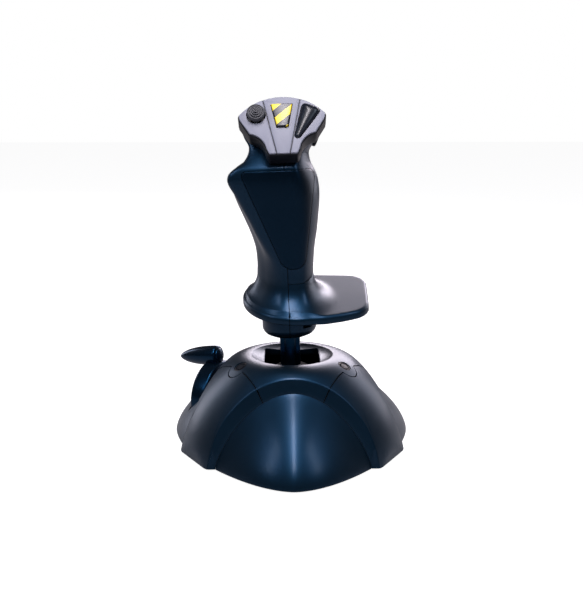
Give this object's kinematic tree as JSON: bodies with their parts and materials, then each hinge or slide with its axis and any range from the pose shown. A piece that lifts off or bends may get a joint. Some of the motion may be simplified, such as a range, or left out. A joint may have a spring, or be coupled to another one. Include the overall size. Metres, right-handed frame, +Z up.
{
  "type": "flight joystick",
  "caption": "Desktop flight joystick: three-lobed base with a side throttle wheel, two-axis sprung stick, shaped grip with hand rest, tilted button head with hat switch and rear trigger.",
  "frame": {"origin": "on the stick's axis, in the plane of the base plate's underside", "axes": "+X to the right of the user, +Y away from the user, +Z up along the stick"},
  "size_m": [0.1648, 0.1694, 0.2349],
  "materials": {
    "satin_navy": "satin",
    "satin_black": "satin",
    "button_black": "satin",
    "gloss_black": "gloss",
    "panel_grey": "satin",
    "hazard_yellow": "gloss",
    "steel": "satin",
    "rubber": "matte",
    "component_blue": "satin",
    "board_green": "satin"
  },
  "bodies": {
    "base": {"base_plate": "satin_black", "rubber_feet": "rubber", "base_screws": "steel", "hub_cap": "satin_navy", "leg_left": "satin_navy", "leg_right": "satin_navy", "leg_rear": "satin_navy", "dome_front": "satin_navy", "dome_left": "satin_navy", "dome_right": "satin_navy", "screw_plugs": "satin_black", "hub_screws": "steel", "gimbal_frame": "satin_black", "roll_pot": "component_blue", "main_pcb": "board_green", "cable_gland": "rubber", "throttle_bracket": "satin_black", "throttle_pot": "component_blue", "roll_spring": "steel"},
    "throttle": {"throttle_axle": "steel", "throttle_wheel": "gloss_black", "throttle_lever": "gloss_black", "throttle_knob": "gloss_black", "knob_cap": "gloss_black"},
    "gimbal": {"gimbal_ring": "steel", "roll_pins": "steel", "pitch_pins": "steel", "pitch_pot": "component_blue", "pitch_spring": "steel"},
    "stick": {"stick_shaft": "gloss_black", "dust_shield": "satin_black", "grip_left_shell": "satin_navy", "grip_right_shell": "satin_navy", "hand_rest": "satin_navy", "palm_insert": "satin_navy", "grip_screws": "steel", "head_housing": "satin_black", "faceplate_left": "panel_grey", "faceplate_centre": "panel_grey", "faceplate_right": "panel_grey", "head_pcb": "board_green", "hat_post": "satin_black", "trigger_bracket": "satin_black", "trigger_pin": "steel", "trigger_switch": "component_blue", "trigger_spring": "steel"},
    "hat_cross": {"hat_pivot": "steel"},
    "hat": {"hat_cap": "button_black"},
    "hazard_key": {"hazard_button": "hazard_yellow"},
    "cone_key": {"cone_button": "button_black"},
    "side_key": {"side_button": "button_black"},
    "trigger_lever": {"trigger": "button_black"}
  },
  "joints": [
    {"name": "stick_roll", "type": "hinge", "parent": "base", "child": "gimbal", "pos_m": [0, 0, 0.032], "axis": [0, 1, 0], "range_deg": [-15, 19], "stiffness_Nm_per_rad": 1.6},
    {"name": "stick_pitch", "type": "hinge", "parent": "gimbal", "child": "stick", "pos_m": [0, 0, 0.032], "axis": [0.9994, 0, 0.0349], "range_deg": [-17, 17], "stiffness_Nm_per_rad": 1.6},
    {"name": "throttle_turn", "type": "hinge", "parent": "base", "child": "throttle", "pos_m": [-0.05369, 0.031, 0.022], "axis": [-0.866, 0.5, 0], "range_deg": [-28, 28]},
    {"name": "trigger_pull", "type": "hinge", "parent": "stick", "child": "trigger_lever", "pos_m": [-0.00597, 0.014, 0.2029], "axis": [-0.9994, 0, -0.0349], "range_deg": [0, 9], "stiffness_Nm_per_rad": 0.08},
    {"name": "hat_tilt_ahead", "type": "hinge", "parent": "stick", "child": "hat_cross", "pos_m": [-0.02287, -0.01557, 0.21986], "axis": [0.9994, 0, 0.0349], "range_deg": [-7.5, 7.5], "stiffness_Nm_per_rad": 0.04},
    {"name": "hat_tilt_side", "type": "hinge", "parent": "hat_cross", "child": "hat", "pos_m": [-0.02287, -0.01557, 0.21986], "axis": [-0.0293, 0.5446, 0.8382], "range_deg": [-7.5, 7.5], "stiffness_Nm_per_rad": 0.04},
    {"name": "hazard_press", "type": "slide", "parent": "stick", "child": "hazard_key", "axis": [0.019, 0.8387, -0.5443], "range_m": [0, 0.001], "stiffness_N_per_m": 600},
    {"name": "cone_press", "type": "slide", "parent": "stick", "child": "cone_key", "axis": [0.019, 0.8387, -0.5443], "range_m": [0, 0.001], "stiffness_N_per_m": 600},
    {"name": "side_press", "type": "slide", "parent": "stick", "child": "side_key", "axis": [-0.9397, 0, 0.342], "range_m": [0, 0.001], "stiffness_N_per_m": 600}
  ]
}
